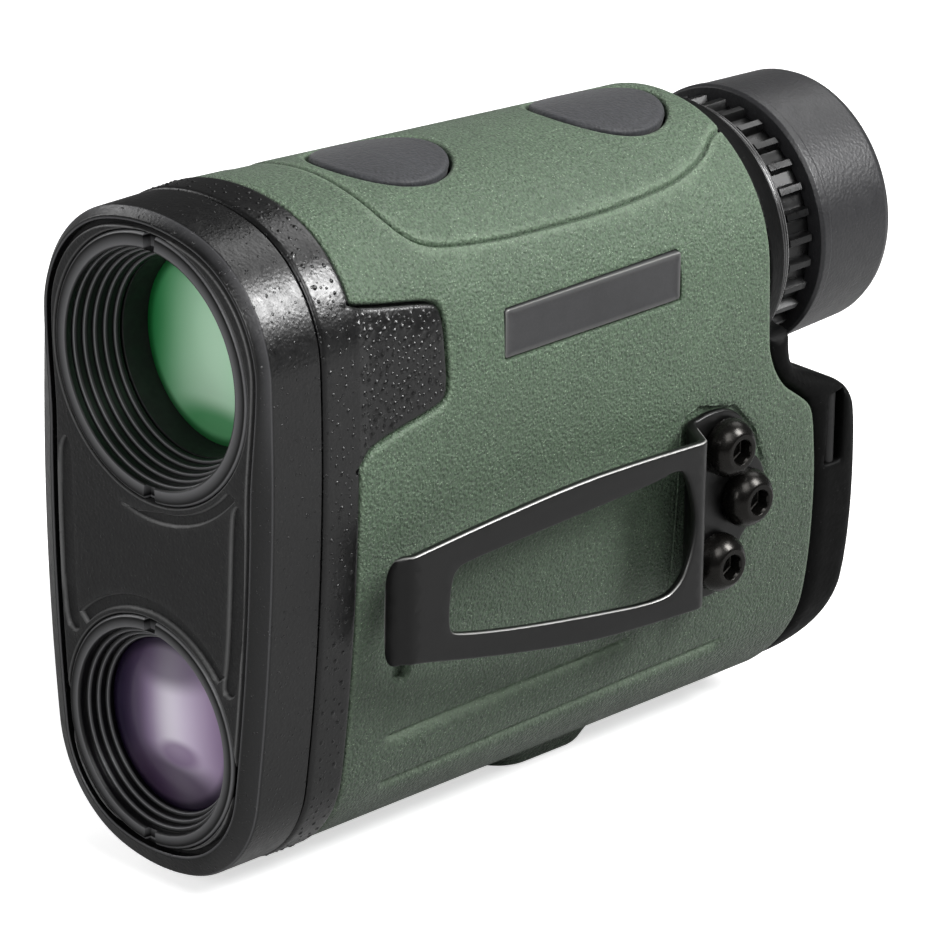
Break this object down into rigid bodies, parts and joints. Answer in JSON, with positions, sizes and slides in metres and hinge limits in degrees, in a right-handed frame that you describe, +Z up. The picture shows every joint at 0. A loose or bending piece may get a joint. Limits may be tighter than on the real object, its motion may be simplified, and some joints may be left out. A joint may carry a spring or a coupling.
{
  "type": "laser rangefinder",
  "caption": "Hand-held laser rangefinder monocular with stacked front lenses, rubber armour, twist-up eyecup, diopter ring, press buttons, side belt clip and tripod socket.",
  "frame": {"origin": "centre of the tripod socket's mouth, in the flat pad under the body", "axes": "+Z up, +Y from the front lenses towards the eyepiece, parallel to the optical axes, +X towards the belt clip"},
  "size_m": [0.048, 0.1155, 0.0888],
  "materials": {
    "bezel_black": "satin black moulded polymer with a fine pebble texture",
    "band_black": "satin black moulded polymer",
    "housing_black": "matte black glass-filled polymer",
    "armour_green": "sage green moulded rubber with a fine stipple",
    "cover_black": "satin black moulded polymer",
    "anodised_black": "black anodised, satin",
    "coated_glass_green": "coated optical glass, green reflection",
    "coated_glass_violet": "coated optical glass, violet reflection",
    "optical_glass": "polished optical glass",
    "frame_grey": "die cast, bead blasted",
    "steel_plain": "plain steel",
    "steel_black": "black coated spring steel, satin",
    "screw_black": "gloss black oxide",
    "button_grey": "dark grey moulded rubber",
    "badge_grey": "dark grey satin plate",
    "cup_rubber": "matte black rubber",
    "seal_rubber": "black nitrile",
    "board_green": "green solder mask",
    "chip_black": "black moulding compound",
    "switch_shell": "pressed steel shell",
    "plunger_cream": "cream acetal",
    "display_dark": "liquid crystal panel",
    "brass_plain": "plain brass",
    "diode_metal": "gold plated can",
    "battery_wrap": "plain dark wrapped cell",
    "contact_nickel": "nickel plated spring bronze"
  },
  "bodies": {
    "casing": {"front_bezel": "bezel_black", "front_band": "band_black", "objective_retaining_ring": "anodised_black", "laser_retaining_ring": "anodised_black", "objective_cell": "anodised_black", "objective_seal": "seal_rubber", "objective_lock_ring": "anodised_black", "objective_crown_lens": "coated_glass_green", "objective_flint_lens": "optical_glass", "objective_spacer": "anodised_black", "laser_cell": "anodised_black", "laser_seal": "seal_rubber", "laser_lens": "coated_glass_violet", "optics_frame": "frame_grey", "half_penta_prism": "optical_glass", "roof_prism": "optical_glass", "prism_cage": "anodised_black", "prism_strap": "steel_plain", "cage_screws": "steel_plain", "reticle_display": "display_dark", "display_bracket": "chip_black", "laser_board": "board_green", "laser_diode": "diode_metal", "laser_baffle": "chip_black", "main_board": "board_green", "board_screws": "steel_plain", "processor_chips": "chip_black", "receiver_module": "diode_metal", "main_housing": "housing_black", "armour": "armour_green", "rear_cover": "cover_black", "lanyard_pin": "steel_plain", "badge_plates": "badge_grey", "tripod_insert": "brass_plain", "switch_bodies": "switch_shell", "button_boards": "board_green", "eyepiece_housing": "anodised_black", "battery_tube": "chip_black", "battery_terminal": "contact_nickel", "battery": "battery_wrap", "clip_base": "steel_black", "clip_screws": "screw_black", "clip_inserts": "brass_plain"},
    "menu_button": {"menu_button": "button_grey", "menu_plunger": "plunger_cream"},
    "measure_button": {"measure_button": "button_grey", "measure_plunger": "plunger_cream"},
    "diopter_ring": {"diopter_ring": "anodised_black"},
    "eyepiece_cell": {"eyepiece_cell": "anodised_black", "field_lens": "optical_glass", "eye_lens": "optical_glass", "eye_lens_lock_ring": "anodised_black"},
    "eyecup_carrier": {"eyecup_carrier": "anodised_black"},
    "eyecup": {"eyecup": "cup_rubber"},
    "battery_contact": {"battery_contact": "contact_nickel"},
    "battery_cap": {"battery_cap": "cover_black", "battery_cap_seal": "seal_rubber"},
    "clip_arm": {"clip_arm": "steel_black"}
  },
  "joints": [
    {"name": "menu_press", "type": "slide", "parent": "casing", "child": "menu_button", "axis": [0, -0.0569, -0.9984], "range_m": [0, 0.0006], "stiffness_N_per_m": 100},
    {"name": "measure_press", "type": "slide", "parent": "casing", "child": "measure_button", "axis": [0, -0.0569, -0.9984], "range_m": [0, 0.0006], "stiffness_N_per_m": 100},
    {"name": "diopter_turn", "type": "hinge", "parent": "casing", "child": "diopter_ring", "pos_m": [0, 0.0373, 0.06389], "axis": [0, 1, 0], "range_deg": [-120, 120]},
    {"name": "diopter_focus", "type": "slide", "parent": "casing", "child": "eyepiece_cell", "axis": [0, 1, 0], "range_m": [-0.0016, 0.0016]},
    {"name": "eyecup_lift", "type": "slide", "parent": "casing", "child": "eyecup_carrier", "axis": [0, 1, 0], "range_m": [0, 0.006]},
    {"name": "eyecup_twist", "type": "hinge", "parent": "eyecup_carrier", "child": "eyecup", "pos_m": [0, 0.045, 0.06389], "axis": [0, 1, 0], "range_deg": [0, 120]},
    {"name": "battery_cap_lift", "type": "slide", "parent": "casing", "child": "battery_contact", "axis": [0, 1, 0], "range_m": [0, 0.003]},
    {"name": "battery_cap_turn", "type": "hinge", "parent": "battery_contact", "child": "battery_cap", "pos_m": [0, 0.046, 0.0268], "axis": [0, 1, 0], "range_deg": [0, 720]},
    {"name": "clip_flex", "type": "hinge", "parent": "casing", "child": "clip_arm", "pos_m": [0.02075, 0.01155, 0.0368], "axis": [0, 0, 1], "range_deg": [0, 6], "stiffness_Nm_per_rad": 0.5}
  ],
  "couplings": [
    {"joint": "diopter_focus", "follows": "diopter_turn", "m_per_rad": 0.000716},
    {"joint": "eyecup_lift", "follows": "eyecup_twist", "m_per_rad": 0.002864},
    {"joint": "battery_cap_lift", "follows": "battery_cap_turn", "m_per_rad": 0.0002387}
  ]
}
